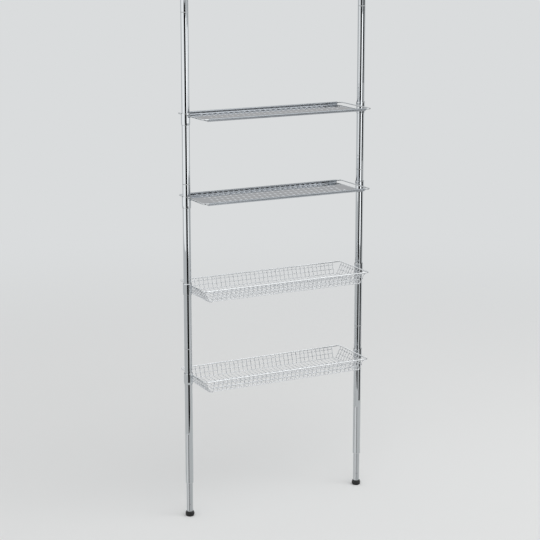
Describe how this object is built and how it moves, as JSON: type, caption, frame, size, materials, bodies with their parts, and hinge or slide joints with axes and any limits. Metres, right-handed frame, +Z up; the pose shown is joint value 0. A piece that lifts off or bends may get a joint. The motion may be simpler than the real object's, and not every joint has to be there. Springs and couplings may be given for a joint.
{
  "type": "tension pole shelf unit",
  "caption": "Floor-to-ceiling shelf unit: sprung chrome poles carry height-adjustable sheet metal shelves and wire baskets.",
  "frame": {"origin": "on the floor, midway between the two poles", "axes": "+X along the shelves towards the right pole, +Y towards the wall behind, +Z up along the poles"},
  "size_m": [0.746, 0.2188, 2.44],
  "materials": {
    "chrome_pole": "polished chrome plate on steel tube",
    "chrome_leg": "polished chrome plate on steel tube",
    "chrome_wire": "polished chrome plate on steel wire",
    "chrome_mesh": "chrome plate on welded steel wire",
    "chrome_collar": "polished chrome plate on turned steel",
    "chrome_sheet": "chrome plate on embossed steel sheet",
    "sleeve_plastic": "moulded, slightly satin",
    "bush_plastic": "moulded nylon, satin",
    "connector_plastic": "moulded nylon, satin",
    "black_rubber": "moulded rubber, slightly satin",
    "spring_steel": "drawn spring steel",
    "button_steel": "turned steel, smooth"
  },
  "bodies": {
    "poles": {"left_lower_tube": "chrome_pole", "left_middle_tube": "chrome_pole", "left_upper_tube": "chrome_pole", "left_top_tube": "chrome_pole", "left_tube_connectors": "connector_plastic", "left_leg_bush": "bush_plastic", "left_spring_stop": "bush_plastic", "left_ceiling_cap": "black_rubber", "right_lower_tube": "chrome_pole", "right_middle_tube": "chrome_pole", "right_upper_tube": "chrome_pole", "right_top_tube": "chrome_pole", "right_tube_connectors": "connector_plastic", "right_leg_bush": "bush_plastic", "right_spring_stop": "bush_plastic", "right_ceiling_cap": "black_rubber"},
    "left_leg": {"left_leg_tube": "chrome_leg", "left_rubber_foot": "black_rubber", "left_spring_plug": "bush_plastic", "left_tension_spring": "spring_steel", "left_button_clip": "spring_steel"},
    "left_button": {"left_leg_button": "button_steel"},
    "right_leg": {"right_leg_tube": "chrome_leg", "right_rubber_foot": "black_rubber", "right_spring_plug": "bush_plastic", "right_tension_spring": "spring_steel", "right_button_clip": "spring_steel"},
    "right_button": {"right_leg_button": "button_steel"},
    "upper_shelf": {"upper_shelf_frame": "chrome_wire", "upper_shelf_left_collar": "chrome_collar", "upper_shelf_right_collar": "chrome_collar", "upper_shelf_split_sleeves": "sleeve_plastic", "upper_shelf_panel": "chrome_sheet"},
    "lower_shelf": {"lower_shelf_frame": "chrome_wire", "lower_shelf_left_collar": "chrome_collar", "lower_shelf_right_collar": "chrome_collar", "lower_shelf_split_sleeves": "sleeve_plastic", "lower_shelf_panel": "chrome_sheet"},
    "upper_basket": {"upper_basket_frame": "chrome_wire", "upper_basket_left_collar": "chrome_collar", "upper_basket_right_collar": "chrome_collar", "upper_basket_split_sleeves": "sleeve_plastic", "upper_basket_bottom_grid": "chrome_mesh", "upper_basket_front_grid": "chrome_mesh", "upper_basket_back_grid": "chrome_mesh", "upper_basket_left_end_grid": "chrome_mesh", "upper_basket_right_end_grid": "chrome_mesh"},
    "lower_basket": {"lower_basket_frame": "chrome_wire", "lower_basket_left_collar": "chrome_collar", "lower_basket_right_collar": "chrome_collar", "lower_basket_split_sleeves": "sleeve_plastic", "lower_basket_bottom_grid": "chrome_mesh", "lower_basket_front_grid": "chrome_mesh", "lower_basket_back_grid": "chrome_mesh", "lower_basket_left_end_grid": "chrome_mesh", "lower_basket_right_end_grid": "chrome_mesh"}
  },
  "joints": [
    {"name": "left_leg_slide", "type": "slide", "parent": "poles", "child": "left_leg", "axis": [0, 0, 1], "range_m": [-0.04, 0.045], "stiffness_N_per_m": 3000, "deforming": ["left_tension_spring"]},
    {"name": "left_button_press", "type": "slide", "parent": "left_leg", "child": "left_button", "axis": [0.309, 0.9511, 0], "range_m": [0, 0.003], "stiffness_N_per_m": 800},
    {"name": "right_leg_slide", "type": "slide", "parent": "poles", "child": "right_leg", "axis": [0, 0, 1], "range_m": [-0.04, 0.045], "stiffness_N_per_m": 3000, "deforming": ["right_tension_spring"]},
    {"name": "right_button_press", "type": "slide", "parent": "right_leg", "child": "right_button", "axis": [0.309, 0.9511, 0], "range_m": [0, 0.003], "stiffness_N_per_m": 800},
    {"name": "upper_shelf_height", "type": "slide", "parent": "poles", "child": "upper_shelf", "axis": [0, 0, 1], "range_m": [-0.12, 0.9]},
    {"name": "lower_shelf_height", "type": "slide", "parent": "poles", "child": "lower_shelf", "axis": [0, 0, 1], "range_m": [-0.13, 0.12]},
    {"name": "upper_basket_height", "type": "slide", "parent": "poles", "child": "upper_basket", "axis": [0, 0, 1], "range_m": [-0.13, 0.13]},
    {"name": "lower_basket_height", "type": "slide", "parent": "poles", "child": "lower_basket", "axis": [0, 0, 1], "range_m": [-0.37, 0.13]}
  ]
}
